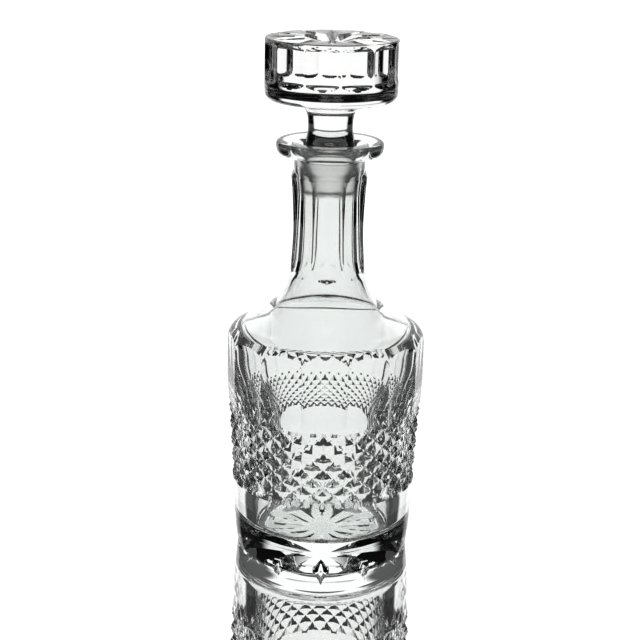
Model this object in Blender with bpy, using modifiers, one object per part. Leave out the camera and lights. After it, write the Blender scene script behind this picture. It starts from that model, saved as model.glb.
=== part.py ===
"""Cut-crystal wine decanter: one thick blown bottle and its solid ground-in stopper.

Run it with blender --background --python part.py, or from Blender's text editor.
Units are metres, +Z is up, and the origin is the centre of the bottle's resting ring.
The bottle is turned from a profile. Its neck panels, its body panels and its band of diamonds are
then cut by moving the turned points by a formula, and the star under the foot is cut with wedges.
"""

import math

import bmesh
import bpy

# Bottle, outside
FOOT_RADIUS = 0.0465
FOOT_CHAMFER = 0.0012
BODY_RADIUS = 0.0531
BODY_TOP = 0.1190
BODY_TAPER = ((0.0960, 0.0531), (0.0850, 0.0524))
LOWER_TAPER = ((0.0270, 0.0493), (0.0110, 0.0482))
SHOULDER_CORNER = 0.0080
SHOULDER_SLOPE = math.radians(32.0)
FLARE_END = (0.0293, 0.1384)
NECK_FOOT = (0.0198, 0.1612)
NECK_WAIST = (0.0188, 0.1810)
NECK_TOP = (0.0202, 0.2085)
COLLAR_RADIUS = 0.0186
COLLAR_FOOT = 0.2120
LIP_UNDERSIDE = 0.2190
LIP_RADIUS = 0.0282
LIP_TOP = 0.2270
LIP_ROUND = 0.0018

# Bottle, inside
DOME_TOP = 0.0240
CAVITY_FLOOR = 0.0160
CAVITY_FOOT_RADIUS = 0.0370
CAVITY_CORNER = 0.0045
CAVITY_LOW = (0.0380, 0.0680)
CAVITY_WIDE = (0.0472, 0.1120)
CAVITY_SWELL = 0.4
CAVITY_TOP = 0.1180
CAVITY_SLOPE_FOOT = (0.0400, 0.1277)
CAVITY_SLOPE_TOP = (0.0310, 0.1333)
BORE_RADIUS = 0.0124
BORE_FOOT = (0.0142, 0.1640)
GROUND_FOOT = 0.1985
GROUND_TOP = 0.2195
GROUND_TOP_RADIUS = 0.0134
MOUTH_RADIUS = 0.0176

# Resting ring and the star cut under the foot
RING_INNER = 0.0250
RING_RECESS = 0.0006
FOOT_STAR_POINTS = 12
FOOT_STAR_MIDDLE = 0.0330
FOOT_STAR_REACH = 0.0290
FOOT_STAR_HALF_WIDTH = 0.0038
FOOT_STAR_DEPTH = 0.0050

# Panels on the neck
NECK_PANELS = 7
PANEL_FULL_FROM = 0.1640
PANEL_FULL_TO = 0.2040
PANEL_FADE_LOW = 0.1555
PANEL_FADE_HIGH = 0.2110

# Upright panels round the body, from the diamonds up into the shoulder's round corner
BODY_PANELS = 14

# Band of diamonds round the body
DIAMONDS_ROUND = 28
DIAMOND_FOOT = 0.0430
DIAMOND_ROW = 0.0048
DIAMOND_ROWS = 8
DIAMOND_DEPTH = 0.0019
BAND_MARGIN = 0.0016

# Stopper
CLEARANCE = 0.0003
PLUG_FOOT = GROUND_FOOT + 0.0010
PLUG_END_CHAMFER = 0.0008
WAIST_RADIUS = 0.0117
WAIST_HEIGHT = 0.2345
SHANK_TOP_RADIUS = 0.0126
SHANK_TOP = 0.2415
HEAD_RADIUS = 0.0345
HEAD_UNDERSIDE = 0.2475
HEAD_SIDE_FOOT = 0.2515
HEAD_SIDE_TOP = 0.2788
HEAD_TOP = 0.2800
HEAD_PANELS = 12
HEAD_PANEL_DEPTH = 0.0020
HEAD_PANEL_TURN = math.radians(7.5)
HEAD_STAR_CUTS = 6
HEAD_STAR_REACH = 0.0330
HEAD_STAR_HALF_WIDTH = 0.0040
HEAD_STAR_DEPTH = 0.0030

# Fineness
BOTTLE_STEPS = 2 * DIAMONDS_ROUND
STOPPER_STEPS = 4 * HEAD_PANELS
MERGE = 0.00001


def remove_scene_objects():
    for thing in list(bpy.data.objects):
        bpy.data.objects.remove(thing, do_unlink=True)


def new_collection(name):
    collection = bpy.data.collections.new(name)
    bpy.context.scene.collection.children.link(collection)
    return collection


def glass(name, colour, roughness):
    material = bpy.data.materials.new(name)
    material.use_nodes = True
    shader = material.node_tree.nodes["Principled BSDF"]
    shader.inputs["Base Color"].default_value = colour
    shader.inputs["Metallic"].default_value = 0.0
    shader.inputs["Roughness"].default_value = roughness
    shader.inputs["IOR"].default_value = 1.54
    shader.inputs["Transmission Weight"].default_value = 1.0
    return material


def curve(start, pull_start, pull_end, end, steps):
    """Points of a cubic Bezier from start to end, without the start point."""
    points = []
    for i in range(1, steps + 1):
        t = i / steps
        weights = ((1 - t) ** 3, 3 * (1 - t) ** 2 * t, 3 * (1 - t) * t * t, t**3)
        corners = (start, pull_start, pull_end, end)
        points.append(tuple(sum(w * c[k] for w, c in zip(weights, corners)) for k in (0, 1)))
    return points


def arc(centre, radius, start, end, steps):
    """Points of an arc in the profile plane, angles measured up from the +X direction."""
    points = []
    for i in range(steps + 1):
        angle = start + (end - start) * i / steps
        points.append((centre[0] + radius * math.cos(angle), centre[1] + radius * math.sin(angle)))
    return points


def cavity_profile():
    """The inside, from the middle of its domed floor up to the rounded mouth."""
    corner_centre = (CAVITY_FOOT_RADIUS - CAVITY_CORNER, CAVITY_FLOOR + CAVITY_CORNER)
    floor_edge = (corner_centre[0], CAVITY_FLOOR)
    points = [(0.0, DOME_TOP)]
    points += curve(
        points[-1],
        (0.0200, DOME_TOP),
        (floor_edge[0] - 0.0045, CAVITY_FLOOR),
        floor_edge,
        6,
    )
    points += arc(corner_centre, CAVITY_CORNER, -math.pi / 2, 0.0, 3)[1:]
    points.append(CAVITY_LOW)
    bend = CAVITY_SWELL * (CAVITY_WIDE[1] - CAVITY_LOW[1])
    points += curve(
        CAVITY_LOW,
        (CAVITY_LOW[0], CAVITY_LOW[1] + bend),
        (CAVITY_WIDE[0], CAVITY_WIDE[1] - bend),
        CAVITY_WIDE,
        6,
    )
    points += [(CAVITY_WIDE[0], CAVITY_TOP)]
    points += curve(
        points[-1],
        (CAVITY_WIDE[0], CAVITY_TOP + 0.0065),
        (CAVITY_SLOPE_FOOT[0] + 0.0035, CAVITY_SLOPE_FOOT[1] - 0.0022),
        CAVITY_SLOPE_FOOT,
        4,
    )
    points.append(CAVITY_SLOPE_TOP)
    points += curve(
        CAVITY_SLOPE_TOP,
        (CAVITY_SLOPE_TOP[0] - 0.0060, CAVITY_SLOPE_TOP[1] + 0.0037),
        (BORE_FOOT[0] + 0.0013, BORE_FOOT[1] - 0.0120),
        BORE_FOOT,
        6,
    )
    points += [(BORE_RADIUS, GROUND_FOOT), (GROUND_TOP_RADIUS, GROUND_TOP)]
    points += curve(
        points[-1],
        (GROUND_TOP_RADIUS + 0.0004, GROUND_TOP + 0.0040),
        (MOUTH_RADIUS - 0.0012, LIP_TOP - 0.0022),
        (MOUTH_RADIUS, LIP_TOP - 0.0012),
        3,
    )
    return points


def lip_and_neck_profile():
    """The flanged lip and the outside of the neck, from the mouth down to the neck's foot."""
    round_centre = (LIP_RADIUS - LIP_ROUND, LIP_TOP - LIP_ROUND)
    points = [(MOUTH_RADIUS + 0.0030, LIP_TOP)]
    points += arc(round_centre, LIP_ROUND, math.pi / 2, 0.0, 3)
    points += curve(
        points[-1],
        (LIP_RADIUS, LIP_UNDERSIDE + 0.0032),
        (LIP_RADIUS - 0.0010, LIP_UNDERSIDE + 0.0014),
        (LIP_RADIUS - 0.0030, LIP_UNDERSIDE + 0.0007),
        3,
    )
    points += [(COLLAR_RADIUS + 0.0030, LIP_UNDERSIDE), (COLLAR_RADIUS + 0.0006, LIP_UNDERSIDE - 0.0006)]
    points += [(COLLAR_RADIUS, LIP_UNDERSIDE - 0.0018), (COLLAR_RADIUS, COLLAR_FOOT)]
    points += [NECK_TOP]
    points += curve(
        NECK_TOP,
        (NECK_TOP[0] - 0.0008, NECK_TOP[1] - 0.0090),
        (NECK_WAIST[0], NECK_WAIST[1] + 0.0090),
        NECK_WAIST,
        3,
    )
    points += curve(
        NECK_WAIST,
        (NECK_WAIST[0], NECK_WAIST[1] - 0.0070),
        (NECK_FOOT[0] - 0.0003, NECK_FOOT[1] + 0.0060),
        NECK_FOOT,
        3,
    )
    return points


def shoulder_profile():
    """The flare out of the neck, the sloping shoulder and its round corner."""
    down = (math.cos(SHOULDER_SLOPE), -math.sin(SHOULDER_SLOPE))
    points = curve(
        NECK_FOOT,
        (NECK_FOOT[0], NECK_FOOT[1] - 0.0067),
        (FLARE_END[0] - 0.0053 * down[0], FLARE_END[1] - 0.0053 * down[1]),
        FLARE_END,
        6,
    )
    corner_centre = (BODY_RADIUS - SHOULDER_CORNER, BODY_TOP)
    points += arc(corner_centre, SHOULDER_CORNER, math.pi / 2 - SHOULDER_SLOPE, 0.0, 4)
    return points


def body_profile():
    """The tapering side, with a ring of points at every half row of diamonds, down to the foot."""
    points = [(radius, height) for height, radius in BODY_TAPER]
    band_top = DIAMOND_FOOT + DIAMOND_ROWS * DIAMOND_ROW
    points += [(side_radius(band_top + BAND_MARGIN), band_top + BAND_MARGIN)]
    for row in range(DIAMOND_ROWS, -1, -1):
        height = DIAMOND_FOOT + row * DIAMOND_ROW
        points.append((side_radius(height), height))
    points += [(radius, height) for height, radius in LOWER_TAPER]
    points += [(FOOT_RADIUS + 0.0008, 0.0030), (FOOT_RADIUS, FOOT_CHAMFER)]
    points += [(FOOT_RADIUS - FOOT_CHAMFER, 0.0)]
    return points


def side_radius(height):
    """The body's outer radius between the top of its taper and its lower part."""
    high, low = BODY_TAPER[-1], LOWER_TAPER[0]
    share = (height - low[0]) / (high[0] - low[0])
    return low[1] + share * (high[1] - low[1])


def foot_profile():
    """The flat resting ring and the shallow recess inside it."""
    return [(RING_INNER, 0.0), (RING_INNER - 0.0010, RING_RECESS), (0.0, RING_RECESS)]


def stopper_profile():
    """The stopper, from the middle of its top down the outside to the middle of the plug's end."""
    slope = (GROUND_TOP_RADIUS - BORE_RADIUS) / (GROUND_TOP - GROUND_FOOT)
    foot_radius = BORE_RADIUS - CLEARANCE + slope * (PLUG_FOOT - GROUND_FOOT)
    points = [(0.0, HEAD_TOP), (HEAD_RADIUS - 0.0013, HEAD_TOP)]
    rows = 6
    for i in range(rows + 1):
        points.append((HEAD_RADIUS, HEAD_SIDE_TOP + (HEAD_SIDE_FOOT - HEAD_SIDE_TOP) * i / rows))
    points += [(HEAD_RADIUS - 0.0022, HEAD_UNDERSIDE + 0.0012)]
    points += curve(
        (0.0240, HEAD_UNDERSIDE - 0.0005),
        (0.0190, HEAD_UNDERSIDE - 0.0010),
        (SHANK_TOP_RADIUS + 0.0006, SHANK_TOP + 0.0042),
        (SHANK_TOP_RADIUS, SHANK_TOP),
        4,
    )
    points += curve(
        points[-1],
        (SHANK_TOP_RADIUS - 0.0007, SHANK_TOP - 0.0020),
        (WAIST_RADIUS, WAIST_HEIGHT + 0.0030),
        (WAIST_RADIUS, WAIST_HEIGHT),
        3,
    )
    points += curve(
        points[-1],
        (WAIST_RADIUS, WAIST_HEIGHT - 0.0040),
        (GROUND_TOP_RADIUS - CLEARANCE, GROUND_TOP + 0.0080),
        (GROUND_TOP_RADIUS - CLEARANCE, GROUND_TOP),
        4,
    )
    points += [(foot_radius, PLUG_FOOT + PLUG_END_CHAMFER)]
    points += [(foot_radius - PLUG_END_CHAMFER, PLUG_FOOT), (0.0, PLUG_FOOT)]
    return points


def turned_mesh(name, profile, steps):
    """A closed mesh turned about Z with a Screw modifier, made real so that its points can move."""
    mesh = bpy.data.meshes.new(name + "_profile")
    bm = bmesh.new()
    corners = [bm.verts.new((radius, 0.0, height)) for radius, height in profile]
    for first, second in zip(corners, corners[1:]):
        bm.edges.new((first, second))
    bm.to_mesh(mesh)
    bm.free()
    blank = bpy.data.objects.new(name + "_profile", mesh)
    bpy.context.scene.collection.objects.link(blank)
    screw = blank.modifiers.new("turn", "SCREW")
    screw.axis = "Z"
    screw.steps = steps
    screw.render_steps = steps
    screw.use_merge_vertices = True
    screw.merge_threshold = MERGE
    evaluated = blank.evaluated_get(bpy.context.evaluated_depsgraph_get())
    turned = bpy.data.meshes.new_from_object(evaluated)
    turned.name = name
    bpy.data.objects.remove(blank, do_unlink=True)
    return turned


def is_outside(point):
    """True on the bottle's outer skin, which the cavity never comes near."""
    radius = math.hypot(point.x, point.y)
    if point.z > PANEL_FADE_LOW:
        return radius > (BORE_RADIUS + COLLAR_RADIUS) / 2
    return radius > side_radius(point.z) - 0.002


def panel_share(height):
    """How far the neck's section has gone from round (0) to flat-sided (1) at this height."""
    low = (height - PANEL_FADE_LOW) / (PANEL_FULL_FROM - PANEL_FADE_LOW)
    high = (PANEL_FADE_HIGH - height) / (PANEL_FADE_HIGH - PANEL_FULL_TO)
    return max(0.0, min(1.0, low, high))


def cut_neck_panels(bm):
    """Flattens the neck between its collar and the shoulder into equal flat panels."""
    sector = 2 * math.pi / NECK_PANELS
    for vert in bm.verts:
        share = panel_share(vert.co.z)
        if share == 0.0 or not is_outside(vert.co):
            continue
        front = math.atan2(vert.co.x, -vert.co.y)
        off_middle = (front + sector / 2) % sector - sector / 2
        flat = math.cos(sector / 2) / math.cos(off_middle)
        factor = 1.0 + share * (flat - 1.0)
        vert.co.x *= factor
        vert.co.y *= factor


def cut_body_panels(bm):
    """Flattens the side above the diamonds, and the foot of the shoulder, into upright panels."""
    sector = 2 * math.pi / BODY_PANELS
    foot = DIAMOND_FOOT + DIAMOND_ROWS * DIAMOND_ROW + BAND_MARGIN / 2
    top = BODY_TOP + SHOULDER_CORNER
    flat = BODY_RADIUS * math.cos(sector / 2)
    for vert in bm.verts:
        radius = math.hypot(vert.co.x, vert.co.y)
        if not foot < vert.co.z < top or radius < flat:
            continue
        front = math.atan2(vert.co.x, -vert.co.y)
        off_middle = (front + sector / 2) % sector - sector / 2
        factor = min(1.0, flat / math.cos(off_middle) / radius)
        vert.co.x *= factor
        vert.co.y *= factor


def grid_place(point):
    """Column and half row of a point in the band of diamonds, or None outside the band."""
    row = (point.z - DIAMOND_FOOT) / DIAMOND_ROW
    if row < -0.1 or row > DIAMOND_ROWS + 0.1 or not is_outside(point):
        return None
    column = math.atan2(point.y, point.x) / (2 * math.pi) * BOTTLE_STEPS
    return round(column), round(row)


def cut_diamonds(bm):
    """Sinks every other point of the band, where two slanting grooves cross, which leaves pyramids."""
    crossings = set()
    for vert in bm.verts:
        place = grid_place(vert.co)
        if place and (place[0] + place[1]) % 2 == 0:
            crossings.add(vert)
    for vert in crossings:
        radius = math.hypot(vert.co.x, vert.co.y)
        factor = (radius - DIAMOND_DEPTH) / radius
        vert.co.x *= factor
        vert.co.y *= factor
    for face in list(bm.faces):
        low_corners = [vert for vert in face.verts if vert in crossings]
        if len(face.verts) == 4 and len(low_corners) == 2:
            bmesh.utils.face_split(face, low_corners[0], low_corners[1])


def cut_head_panels(bm):
    """Hollows the side of the stopper's head into upright scallops between thin ridges."""
    sector = 2 * math.pi / HEAD_PANELS
    middle = (HEAD_SIDE_TOP + HEAD_SIDE_FOOT) / 2
    half = (HEAD_SIDE_TOP - HEAD_SIDE_FOOT) / 2
    for vert in bm.verts:
        radius = math.hypot(vert.co.x, vert.co.y)
        along = (vert.co.z - middle) / half
        if radius < HEAD_RADIUS - 0.0001 or abs(along) > 0.99:
            continue
        angle = math.atan2(vert.co.y, vert.co.x) + HEAD_PANEL_TURN
        around = (angle / sector + 0.5) % 1.0 - 0.5
        depth = HEAD_PANEL_DEPTH * math.cos(math.pi * around) * (1 - along ** 4)
        factor = (radius - depth) / radius
        vert.co.x *= factor
        vert.co.y *= factor


def wedge_ring(name, count, middle, reach, half_width, depth, height, turn, home):
    """A ring of long wedges whose lower and upper edges run out to a point at each end."""
    mesh = bpy.data.meshes.new(name)
    bm = bmesh.new()
    for i in range(count):
        angle = turn + 2 * math.pi * i / count
        made = bmesh.ops.create_uvsphere(bm, u_segments=4, v_segments=2, radius=1.0)
        for vert in made["verts"]:
            along = middle + vert.co.x * reach
            across = vert.co.y * half_width
            vert.co.z = height + vert.co.z * depth
            vert.co.x = along * math.cos(angle) - across * math.sin(angle)
            vert.co.y = along * math.sin(angle) + across * math.cos(angle)
    bm.to_mesh(mesh)
    bm.free()
    cutter = bpy.data.objects.new(name, mesh)
    home.objects.link(cutter)
    cutter.hide_render = True
    cutter.display_type = "WIRE"
    return cutter


def cut_with(target, cutter):
    boolean = target.modifiers.new(cutter.name, "BOOLEAN")
    boolean.operation = "DIFFERENCE"
    boolean.object = cutter


def shade(mesh, degrees):
    mesh.shade_smooth()
    mesh.set_sharp_from_angle(angle=math.radians(degrees))


def make_bottle(home, cutters):
    profile = cavity_profile() + lip_and_neck_profile() + shoulder_profile()
    profile += body_profile() + foot_profile()
    mesh = turned_mesh("decanter_body", profile, BOTTLE_STEPS)
    bm = bmesh.new()
    bm.from_mesh(mesh)
    cut_neck_panels(bm)
    cut_body_panels(bm)
    cut_diamonds(bm)
    bm.to_mesh(mesh)
    bm.free()
    shade(mesh, 20)
    mesh.materials.clear()
    mesh.materials.append(glass("crystal", (0.96, 0.98, 0.97, 1.0), 0.0))
    bottle = bpy.data.objects.new("decanter_body", mesh)
    home.objects.link(bottle)
    star = wedge_ring(
        "foot_star_cutter",
        FOOT_STAR_POINTS,
        FOOT_STAR_MIDDLE,
        FOOT_STAR_REACH,
        FOOT_STAR_HALF_WIDTH,
        FOOT_STAR_DEPTH,
        0.0,
        math.pi / 2,
        cutters,
    )
    cut_with(bottle, star)
    return bottle


def make_stopper(home, cutters):
    mesh = turned_mesh("stopper", stopper_profile(), STOPPER_STEPS)
    bm = bmesh.new()
    bm.from_mesh(mesh)
    cut_head_panels(bm)
    bm.to_mesh(mesh)
    bm.free()
    shade(mesh, 20)
    mesh.materials.clear()
    mesh.materials.append(glass("stopper_crystal", (0.97, 0.98, 0.97, 1.0), 0.02))
    stopper = bpy.data.objects.new("stopper", mesh)
    home.objects.link(stopper)
    for i in range(HEAD_STAR_CUTS):
        cutter = wedge_ring(
            f"head_star_cutter_{i + 1}",
            1,
            0.0,
            HEAD_STAR_REACH,
            HEAD_STAR_HALF_WIDTH,
            HEAD_STAR_DEPTH,
            HEAD_TOP,
            math.pi * i / HEAD_STAR_CUTS,
            cutters,
        )
        cut_with(stopper, cutter)
    return stopper


def build():
    remove_scene_objects()
    parts = new_collection("wine_decanter")
    cutters = new_collection("wine_decanter_cutters")
    make_bottle(parts, cutters)
    make_stopper(parts, cutters)


build()
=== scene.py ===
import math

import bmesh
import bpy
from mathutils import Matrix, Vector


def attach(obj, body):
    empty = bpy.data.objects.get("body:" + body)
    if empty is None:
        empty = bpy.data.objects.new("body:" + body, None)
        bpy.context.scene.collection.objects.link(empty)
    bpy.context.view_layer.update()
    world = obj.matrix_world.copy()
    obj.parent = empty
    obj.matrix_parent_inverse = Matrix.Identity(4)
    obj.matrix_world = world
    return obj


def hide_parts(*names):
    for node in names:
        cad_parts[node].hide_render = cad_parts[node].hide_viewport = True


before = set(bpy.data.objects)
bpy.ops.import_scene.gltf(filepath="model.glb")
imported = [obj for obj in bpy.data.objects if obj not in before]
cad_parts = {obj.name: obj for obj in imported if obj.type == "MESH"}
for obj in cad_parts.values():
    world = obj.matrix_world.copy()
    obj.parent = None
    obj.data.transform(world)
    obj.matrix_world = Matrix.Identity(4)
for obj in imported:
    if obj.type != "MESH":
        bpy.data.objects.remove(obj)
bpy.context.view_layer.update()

# Cut-crystal wine decanter and its stopper, as one clear piece for each CAD body. Lengths are in
# metres in the CAD frame: the bottle stands on the floor at z 0 with its axis on +Z, and the camera
# looks along +Y. A profile is a list of (radius, height, kind) points; the kind says which cutting
# tool works on that ring of points.

# Bottle
STEPS = 336
DIAMONDS_ROUND = 28
BAND_FOOT = 0.0430
ROW = 0.0048
ROWS = 8
ROW_STEPS = 4
CUT_DEPTH = 0.0019
BAND_MARGIN = 0.0016
BODY_PANELS = 14
BODY_RADIUS = 0.0531
CORNER = 0.0080
CORNER_HEIGHT = 0.1190
SLOPE = math.radians(32)
NECK_PANELS = 7
GROUND_FOOT = 0.1985
GROUND_TOP = 0.2195

# Star of leaf-shaped cuts under the foot, out to its edge
STAR_POINTS = 12
RAY_START = 0.0040
RAY_END = 0.0620
RAY_HALF_WIDTH = 0.0038
RAY_DEPTH = 0.0050

# Stopper
STOPPER_STEPS = 288
HEAD_RADIUS = 0.0345
HEAD_TOP = 0.2800
FLUTES = 12
FLUTE_TURN = math.radians(7.5)
FLUTE_FLOOR = 0.0324
FLUTE_MIDDLE = 0.2683
FLUTE_STRAIGHT = 0.0078
FLUTE_RUN_OUT = 0.0040
FLUTE_BEND = 0.0700
TOP_CUTS = 6
TOP_CUT_HALF_WIDTH = 0.0044
TOP_CUT_DEPTH = 0.0034
GAP = 0.0003

# Glass
SHARP_ANGLE = 17
INDEX = 1.54
GROUND_ROUGHNESS = 0.25

# Studio: angles either side of the view, from full light to none, and the same upwards
LIGHT_INNER = math.radians(34)
LIGHT_OUTER = math.radians(42)
LIGHT_TOP = (0.75, 0.85)
MIRROR_SHARE = 0.85
MIRROR_SHARE_SEEN = 0.9


def curve(start, pull_start, pull_end, end, steps):
    """Points along a cubic Bezier curve, without its start point."""
    points = []
    for i in range(1, steps + 1):
        t = i / steps
        weights = ((1 - t) ** 3, 3 * (1 - t) ** 2 * t, 3 * (1 - t) * t * t, t ** 3)
        shares = list(zip(weights, (start, pull_start, pull_end, end)))
        points.append((sum(w * p[0] for w, p in shares), sum(w * p[1] for w, p in shares)))
    return points


def arc(centre, radius, first, last, steps):
    """Points round part of a circle, with both ends."""
    points = []
    for i in range(steps + 1):
        angle = first + (last - first) * i / steps
        points.append((centre[0] + radius * math.cos(angle), centre[1] + radius * math.sin(angle)))
    return points


def line(start, end, steps):
    """Points along a straight line, without its start point."""
    points = []
    for i in range(1, steps + 1):
        t = i / steps
        points.append((start[0] + (end[0] - start[0]) * t, start[1] + (end[1] - start[1]) * t))
    return points


def tagged(points, kind):
    return [(radius, height, kind) for radius, height in points]


def side_radius(height):
    """The round body's radius between the lower body and the top of the diamonds."""
    return 0.0493 + (height - 0.0270) / 0.0580 * 0.0031


def off_middle(angle, count):
    """How far an angle is from the middle of its panel, when one of count panels faces the camera."""
    sector = 2 * math.pi / count
    return (angle + math.pi / 2 + sector / 2) % sector - sector / 2


def hollow_profile():
    """The cavity: a round floor, narrow beside the diamonds and swelling out under the shoulder."""
    points = [(0.0, 0.0240)]
    points += curve(points[-1], (0.0200, 0.0240), (0.0280, 0.0160), (0.0325, 0.0160), 14)
    points += arc((0.0325, 0.0205), 0.0045, -math.pi / 2, 0.0, 10)[1:]
    points += curve(points[-1], (0.0375, 0.0380), (0.0380, 0.0560), (0.0380, 0.0680), 6)
    points += curve(points[-1], (0.0380, 0.0856), (0.0472, 0.0944), (0.0472, 0.1120), 18)
    points += line(points[-1], (0.0472, 0.1180), 2)
    points += curve(points[-1], (0.0472, 0.1245), (0.0435, 0.1255), (0.0400, 0.1277), 12)
    points += line(points[-1], (0.0310, 0.1333), 4)
    points += curve(points[-1], (0.0250, 0.1370), (0.0155, 0.1520), (0.0142, 0.1640), 20)
    profile = tagged(points + line(points[-1], (0.0124, GROUND_FOOT), 4), "plain")
    profile += tagged(line((0.0124, GROUND_FOOT), (0.0134, GROUND_TOP), 3), "ground")
    mouth = curve((0.0134, GROUND_TOP), (0.0138, 0.2235), (0.0160, 0.2246), (0.0176, 0.2258), 8)
    return profile + tagged(mouth, "plain")


def neck_profile():
    """The flanged lip, the collar, and the panelled neck as far down as its foot."""
    points = [(0.0190, 0.2267), (0.0206, 0.2270)]
    points += arc((0.0264, 0.2252), 0.0018, math.pi / 2, 0.0, 7)
    points += curve(points[-1], (0.0282, 0.2222), (0.0272, 0.2204), (0.0252, 0.2197), 8)
    points += curve(points[-1], (0.0222, 0.2188), (0.0189, 0.2190), (0.0186, 0.2172), 8)
    points += line(points[-1], (0.0186, 0.2125), 2)
    profile = tagged(points, "plain")
    neck = line((0.0186, 0.2120), (0.0202, 0.2085), 6)
    neck += curve(neck[-1], (0.0194, 0.1995), (0.0188, 0.1900), (0.0188, 0.1810), 20)
    neck += curve(neck[-1], (0.0188, 0.1740), (0.0195, 0.1672), (0.0198, 0.1612), 20)
    down = (math.cos(SLOPE), -math.sin(SLOPE))
    flare_pull = (0.0293 - 0.0053 * down[0], 0.1384 - 0.0053 * down[1])
    neck += curve(neck[-1], (0.0198, 0.1545), flare_pull, (0.0293, 0.1384), 26)
    return profile + tagged(neck, "neck")


def body_profile():
    """The shoulder's corner, the upright panels, the diamonds, the lower body and the foot."""
    profile = [(step / 16, 0.0, "corner") for step in range(17)]
    profile += [(step / 8, 0.0, "upright") for step in range(1, 9)]
    for height in (0.0940, 0.0910, 0.0880, 0.0850, BAND_FOOT + ROWS * ROW + BAND_MARGIN):
        profile.append((side_radius(height) + max(0.0, height - 0.0850) / 0.0110 * 0.00012, height,
                        "panel"))
    for step in range(ROWS * ROW_STEPS, -1, -1):
        height = BAND_FOOT + step * ROW / ROW_STEPS
        profile.append((side_radius(height), height, "diamond"))
    lower = line((side_radius(BAND_FOOT), BAND_FOOT), (0.0493, 0.0270), 6)
    lower += line((0.0493, 0.0270), (0.0482, 0.0110), 6)
    lower += line((0.0482, 0.0110), (0.0473, 0.0030), 3)
    lower += [(0.0469, 0.0017), (0.0463, 0.0007), (0.0453, 0.0)]
    profile += tagged(lower, "plain")
    return profile + tagged([(0.0250, 0.0), (0.0240, 0.0006), (0.0, 0.0006)], "plain")


def neck_point(radius, height, angle):
    """Seven panels down the neck, each rounded off at both ends."""
    rise = max(0.0, height - 0.2020) / 0.0090, max(0.0, 0.1660 - height) / 0.0105
    depth = 0.099 * math.sqrt(max(0.0, 1.0 - max(rise) ** 2))
    panel = radius * (1.0 - depth) / math.cos(off_middle(angle, NECK_PANELS))
    return min(radius, panel), height


def panel_face(angle):
    """Distance from the axis to the flat upright panel in this direction."""
    half = math.pi / BODY_PANELS
    return BODY_RADIUS * math.cos(half) / math.cos(off_middle(angle, BODY_PANELS))


def corner_point(share, angle):
    """The shoulder's round corner, down to the arch where the upright panel cuts into it."""
    bottom = math.acos(min(1.0, (panel_face(angle) - BODY_RADIUS + CORNER) / CORNER))
    turn = (math.pi / 2 - SLOPE) * (1 - share) + bottom * share
    return BODY_RADIUS - CORNER + CORNER * math.cos(turn), CORNER_HEIGHT + CORNER * math.sin(turn)


def upright_point(share, angle):
    top = corner_point(1.0, angle)[1]
    return panel_face(angle), top + (0.0960 - top) * share


def diamond_depth(height, column):
    """How deep two crossing sets of slanting V grooves cut at this point of the band."""
    across = column / (STEPS / DIAMONDS_ROUND / 2)
    up = (height - BAND_FOOT) / ROW
    first, second = (across + up) / 2, (across - up) / 2
    nearest = min(abs(first - round(first)), abs(second - round(second)))
    return CUT_DEPTH * (1 - 2 * nearest)


def bottle_point(radius, height, kind, angle, column):
    if kind == "neck":
        return neck_point(radius, height, angle)
    if kind == "corner":
        return corner_point(radius, angle)
    if kind == "upright":
        return upright_point(radius, angle)
    if kind == "panel":
        return radius * panel_face(angle) / BODY_RADIUS, height
    if kind == "diamond":
        return radius - diamond_depth(height, column), height
    return radius, height


def bottle_split(kind, height, column):
    """Which diagonal splits a face of the band, so that no groove or ridge is crossed."""
    if kind != "diamond":
        return None
    row = math.floor((height - BAND_FOOT) / ROW - 1e-6)
    return (column // (STEPS // DIAMONDS_ROUND // 2) + row) % 2 == 1


def grid_mesh(name, profile, steps, place, split):
    """A closed mesh with a ring of points for each point of the profile; rings at radius 0 close it."""
    corners, rings, faces, ground = [], [], [], []
    for radius, height, kind in profile:
        if radius == 0.0 and kind == "plain":
            rings.append([len(corners)] * steps)
            corners.append((0.0, 0.0, height))
            continue
        rings.append(list(range(len(corners), len(corners) + steps)))
        for column in range(steps):
            angle = 2 * math.pi * column / steps - math.pi / 2
            far, up = place(radius, height, kind, angle, column)
            corners.append((far * math.cos(angle), far * math.sin(angle), up))
    for row in range(len(profile) - 1):
        kind = profile[row + 1][2]
        for column in range(steps):
            after = (column + 1) % steps
            quad = [rings[row][column], rings[row + 1][column], rings[row + 1][after],
                    rings[row][after]]
            choice = split(profile[row][2], profile[row][1], column)
            if len(set(quad)) < 4:
                pieces = [sorted(set(quad), key=quad.index)]
            elif choice is None:
                pieces = [quad]
            elif choice:
                pieces = [[quad[0], quad[1], quad[2]], [quad[0], quad[2], quad[3]]]
            else:
                pieces = [[quad[0], quad[1], quad[3]], [quad[1], quad[2], quad[3]]]
            faces += pieces
            ground += [1 if kind == "ground" else 0] * len(pieces)
    mesh = bpy.data.meshes.new(name)
    mesh.from_pydata(corners, [], faces)
    mesh.update()
    bm = bmesh.new()
    bm.from_mesh(mesh)
    bmesh.ops.recalc_face_normals(bm, faces=bm.faces[:])
    bm.to_mesh(mesh)
    bm.free()
    mesh.polygons.foreach_set("material_index", ground)
    return mesh


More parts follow.
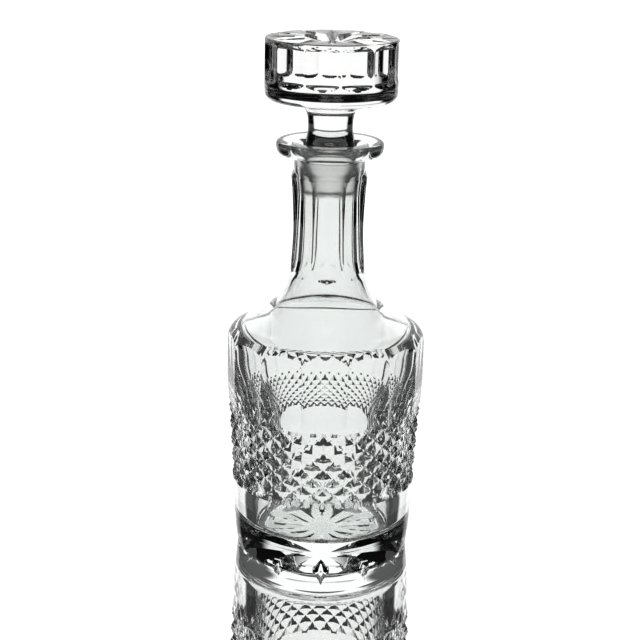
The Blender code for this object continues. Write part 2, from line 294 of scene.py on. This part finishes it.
def groove_cutter(name, grooves):
    """Bent spindles with a square section: each groove is a list of (point, outward, width, depth)."""
    mesh = bpy.data.meshes.new(name)
    bm = bmesh.new()
    for stations in grooves:
        rings = []
        along = (stations[-1][0] - stations[0][0]).normalized()
        for point, outward, half_width, depth in stations[1:-1]:
            sideways = along.cross(outward).normalized()
            offsets = (outward * depth, sideways * half_width, -outward * depth,
                       -sideways * half_width)
            rings.append([bm.verts.new(point + offset) for offset in offsets])
        first, last = bm.verts.new(stations[0][0]), bm.verts.new(stations[-1][0])
        for k in range(4):
            after = (k + 1) % 4
            bm.faces.new((first, rings[0][k], rings[0][after]))
            bm.faces.new((last, rings[-1][after], rings[-1][k]))
            for low, high in zip(rings, rings[1:]):
                bm.faces.new((low[k], high[k], high[after], low[after]))
    bmesh.ops.recalc_face_normals(bm, faces=bm.faces[:])
    bm.to_mesh(mesh)
    bm.free()
    cutter = bpy.data.objects.new(name, mesh)
    bpy.context.scene.collection.objects.link(cutter)
    return cutter


def star_ray(turn, start, end, height, half_width, depth, up):
    """A straight leaf-shaped groove in a flat face that looks up or down."""
    stations = []
    for i in range(13):
        share = i / 12
        far = start + (end - start) * share
        swell = math.sin(math.pi * share)
        point = Vector((far * math.cos(turn), far * math.sin(turn), height))
        stations.append((point, Vector((0.0, 0.0, up)), half_width * swell, depth * swell))
    return stations


def stopper_profile():
    """The stopper from the middle of its top down to the middle of the plug's end."""
    slope = 0.0010 / (GROUND_TOP - GROUND_FOOT)
    foot = 0.0124 - GAP + slope * 0.0010
    top = [(0.0, HEAD_TOP)] + line((0.0, HEAD_TOP), (HEAD_RADIUS - 0.0008, HEAD_TOP), 4)
    profile = tagged(top, "plain")
    profile += tagged([(HEAD_RADIUS - 0.0002, HEAD_TOP - 0.0003)], "plain")
    side = line((HEAD_RADIUS, HEAD_TOP - 0.0008), (HEAD_RADIUS, 0.2530), 56)
    profile += tagged([(HEAD_RADIUS, HEAD_TOP - 0.0008)] + side, "flute")
    under = arc((HEAD_RADIUS - 0.0050, 0.2530), 0.0050, 0.0, -math.radians(70), 10)[1:]
    under += curve(under[-1], (0.0240, 0.2472), (0.0136, 0.2462), (0.0126, 0.2415), 14)
    under += curve(under[-1], (0.0119, 0.2395), (0.0117, 0.2375), (0.0117, 0.2345), 8)
    under += curve(under[-1], (0.0117, 0.2305), (0.0131, 0.2275), (0.0134 - GAP, GROUND_TOP), 12)
    profile += tagged(under, "plain")
    plug = line((0.0134 - GAP, GROUND_TOP), (foot, 0.2003), 6)
    profile += tagged(plug, "ground")
    return profile + tagged([(foot - 0.0008, 0.1995), (0.0, 0.1995)], "plain")


def stopper_point(radius, height, kind, angle, column):
    """Shallow hollow flutes round the head, between upright ridges, fading out at both ends."""
    if kind != "flute":
        return radius, height
    away = max(0.0, abs(height - FLUTE_MIDDLE) - FLUTE_STRAIGHT)
    off = off_middle(angle + FLUTE_TURN, FLUTES)
    floor = FLUTE_FLOOR + away ** 2 / FLUTE_RUN_OUT
    bend = math.sin(off) ** 2 / FLUTE_BEND
    reach = max(0.0, math.cos(off) ** 2 - 4 * bend * floor)
    hollow = 2 * floor / (math.cos(off) + math.sqrt(reach))
    return min(radius, hollow), height


def no_split(kind, height, column):
    return None


def finish_mesh(name, mesh, cutters, materials):
    """Cuts the mesh, marks its creases as sharp, and returns the finished piece."""
    blank = bpy.data.objects.new(name + "_blank", mesh)
    bpy.context.scene.collection.objects.link(blank)
    for material in materials:
        mesh.materials.append(material)
    for cutter in cutters:
        boolean = blank.modifiers.new(cutter.name, "BOOLEAN")
        boolean.operation = "DIFFERENCE"
        boolean.solver = "MANIFOLD"
        boolean.object = cutter
    bpy.context.view_layer.update()
    evaluated = blank.evaluated_get(bpy.context.evaluated_depsgraph_get())
    made = bpy.data.meshes.new_from_object(evaluated)
    made.name = name
    for thing in [blank] + cutters:
        bpy.data.objects.remove(thing, do_unlink=True)
    made.shade_smooth()
    made.set_sharp_from_angle(angle=math.radians(SHARP_ANGLE))
    piece = bpy.data.objects.new(name, made)
    bpy.context.scene.collection.objects.link(piece)
    return piece


def crystal(name, color, roughness):
    """Clear lead crystal."""
    material = bpy.data.materials.new(name)
    material.use_nodes = True
    shader = material.node_tree.nodes["Principled BSDF"]
    shader.inputs["Base Color"].default_value = color
    shader.inputs["Roughness"].default_value = roughness
    shader.inputs["IOR"].default_value = INDEX
    shader.inputs["Transmission Weight"].default_value = 1.0
    return material


def make_bottle():
    profile = hollow_profile() + neck_profile() + body_profile()
    mesh = grid_mesh("decanter_glass", profile, STEPS, bottle_point, bottle_split)
    rays = []
    for ray in range(STAR_POINTS):
        turn = 2 * math.pi * ray / STAR_POINTS - math.pi / 2
        rays.append(star_ray(turn, RAY_START, RAY_END, 0.0, RAY_HALF_WIDTH, RAY_DEPTH, -1.0))
    cutters = [groove_cutter("foot_star", rays)]
    clear = crystal("clear_crystal", (0.975, 0.985, 0.98, 1.0), 0.0)
    ground = crystal("ground_crystal", (0.97, 0.975, 0.97, 1.0), GROUND_ROUGHNESS)
    return finish_mesh("decanter_glass", mesh, cutters, [clear, ground])


def make_stopper():
    mesh = grid_mesh("stopper_glass", stopper_profile(), STOPPER_STEPS, stopper_point, no_split)
    cutters = []
    for cut in range(TOP_CUTS):
        turn = math.pi * cut / TOP_CUTS
        groove = star_ray(turn, -HEAD_RADIUS, HEAD_RADIUS, HEAD_TOP, TOP_CUT_HALF_WIDTH,
                          TOP_CUT_DEPTH, 1.0)
        cutters.append(groove_cutter(f"top_star_{cut}", [groove]))
    clear = crystal("clear_stopper_crystal", (0.98, 0.985, 0.98, 1.0), 0.0)
    ground = crystal("ground_stopper_crystal", (0.97, 0.975, 0.97, 1.0), GROUND_ROUGHNESS)
    return finish_mesh("stopper_glass", mesh, cutters, [clear, ground])


def make_floor():
    """A pale polished table top that mirrors the bottle."""
    bpy.ops.mesh.primitive_circle_add(vertices=128, radius=1.6, fill_type="NGON")
    floor = bpy.context.object
    floor.name = "floor"
    floor.location.z = -0.0002
    material = bpy.data.materials.new("pale_floor")
    material.use_nodes = True
    tree = material.node_tree
    tree.nodes.clear()
    output = tree.nodes.new("ShaderNodeOutputMaterial")
    mix = tree.nodes.new("ShaderNodeMixShader")
    path = tree.nodes.new("ShaderNodeLightPath")
    seen = path.outputs["Is Camera Ray"]
    share = smooth_step(tree, seen, 0.0, 1.0, MIRROR_SHARE, MIRROR_SHARE_SEEN)
    tree.links.new(share, mix.inputs["Fac"])
    glow = tree.nodes.new("ShaderNodeEmission")
    glow.inputs["Color"].default_value = (1.0, 1.0, 1.0, 1.0)
    mirror = tree.nodes.new("ShaderNodeBsdfGlossy")
    mirror.inputs["Color"].default_value = (1.0, 1.0, 1.0, 1.0)
    mirror.inputs["Roughness"].default_value = 0.0
    tree.links.new(glow.outputs["Emission"], mix.inputs[1])
    tree.links.new(mirror.outputs["BSDF"], mix.inputs[2])
    tree.links.new(mix.outputs["Shader"], output.inputs["Surface"])
    floor.data.materials.append(material)
    return floor


def math_node(tree, operation, first, second):
    node = tree.nodes.new("ShaderNodeMath")
    node.operation = operation
    for socket, value in zip(node.inputs, (first, second)):
        if isinstance(value, (int, float)):
            socket.default_value = value
        else:
            tree.links.new(value, socket)
    return node.outputs["Value"]


def smooth_step(tree, value, low, high, low_value, high_value):
    node = tree.nodes.new("ShaderNodeMapRange")
    node.interpolation_type = "SMOOTHSTEP"
    node.inputs["From Min"].default_value = low
    node.inputs["From Max"].default_value = high
    node.inputs["To Min"].default_value = low_value
    node.inputs["To Max"].default_value = high_value
    tree.links.new(value, node.inputs["Value"])
    return node.outputs["Result"]


def flat_direction(tree, vector):
    """The horizontal part of a direction, one unit long."""
    flatten = tree.nodes.new("ShaderNodeVectorMath")
    flatten.operation = "MULTIPLY"
    flatten.inputs[1].default_value = (1.0, 1.0, 0.0)
    tree.links.new(vector, flatten.inputs[0])
    normal = tree.nodes.new("ShaderNodeVectorMath")
    normal.operation = "NORMALIZE"
    tree.links.new(flatten.outputs["Vector"], normal.inputs[0])
    return normal.outputs["Vector"]


def make_light():
    """A white backdrop that stays behind the bottle from any camera, with a dark room either side."""
    world = bpy.data.worlds.new("studio")
    bpy.context.scene.world = world
    world.use_nodes = True
    tree = world.node_tree
    tree.nodes.clear()
    output = tree.nodes.new("ShaderNodeOutputWorld")
    light = tree.nodes.new("ShaderNodeBackground")
    place = tree.nodes.new("ShaderNodeTexCoord")
    forward = tree.nodes.new("ShaderNodeVectorTransform")
    forward.vector_type = "VECTOR"
    forward.convert_from = "CAMERA"
    forward.convert_to = "WORLD"
    forward.inputs["Vector"].default_value = (0.0, 0.0, 1.0)
    direction = flat_direction(tree, place.outputs["Generated"])
    ahead = flat_direction(tree, forward.outputs["Vector"])
    match = tree.nodes.new("ShaderNodeVectorMath")
    match.operation = "DOT_PRODUCT"
    tree.links.new(direction, match.inputs[0])
    tree.links.new(ahead, match.inputs[1])
    edge = math.cos(LIGHT_OUTER), math.cos(LIGHT_INNER)
    across = smooth_step(tree, match.outputs["Value"], edge[0], edge[1], 0.0, 1.0)
    split = tree.nodes.new("ShaderNodeSeparateXYZ")
    tree.links.new(place.outputs["Generated"], split.inputs["Vector"])
    low = smooth_step(tree, split.outputs["Z"], LIGHT_TOP[0], LIGHT_TOP[1], 1.0, 0.0)
    tree.links.new(math_node(tree, "MULTIPLY", across, low), light.inputs["Strength"])
    light.inputs["Color"].default_value = (1.0, 1.0, 1.0, 1.0)
    tree.links.new(light.outputs["Background"], output.inputs["Surface"])


def make_camera():
    """The photograph's view: a long lens a little above the stopper, looking down 17 degrees."""
    data = bpy.data.cameras.new("camera")
    data.sensor_width = 36.0
    data.lens = 85.86
    data.shift_x = -0.00975
    data.clip_start = 0.01
    camera = bpy.data.objects.new("camera", data)
    bpy.context.scene.collection.objects.link(camera)
    tilt = Matrix.Rotation(math.radians(90 - 17.304), 4, "X")
    roll = Matrix.Rotation(math.radians(1.262), 4, "Z")
    camera.matrix_world = Matrix.Translation((0.0, -0.78596, 0.37384)) @ tilt @ roll
    bpy.context.scene.camera = camera


def set_light_paths():
    """Enough bounces for light that goes through four walls of cut glass."""
    cycles = bpy.context.scene.cycles
    cycles.max_bounces = 32
    cycles.transmission_bounces = 32
    cycles.glossy_bounces = 32
    cycles.caustics_reflective = True
    cycles.caustics_refractive = True
    view = bpy.context.scene.view_settings
    view.view_transform = "Standard"
    view.exposure = 0.15
    view.gamma = 0.6


bottle = make_bottle()
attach(bottle, "bottle")
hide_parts("decanter_body")
stopper = make_stopper()
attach(stopper, "stopper")
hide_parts("stopper")
make_floor()
make_light()
make_camera()
set_light_paths()
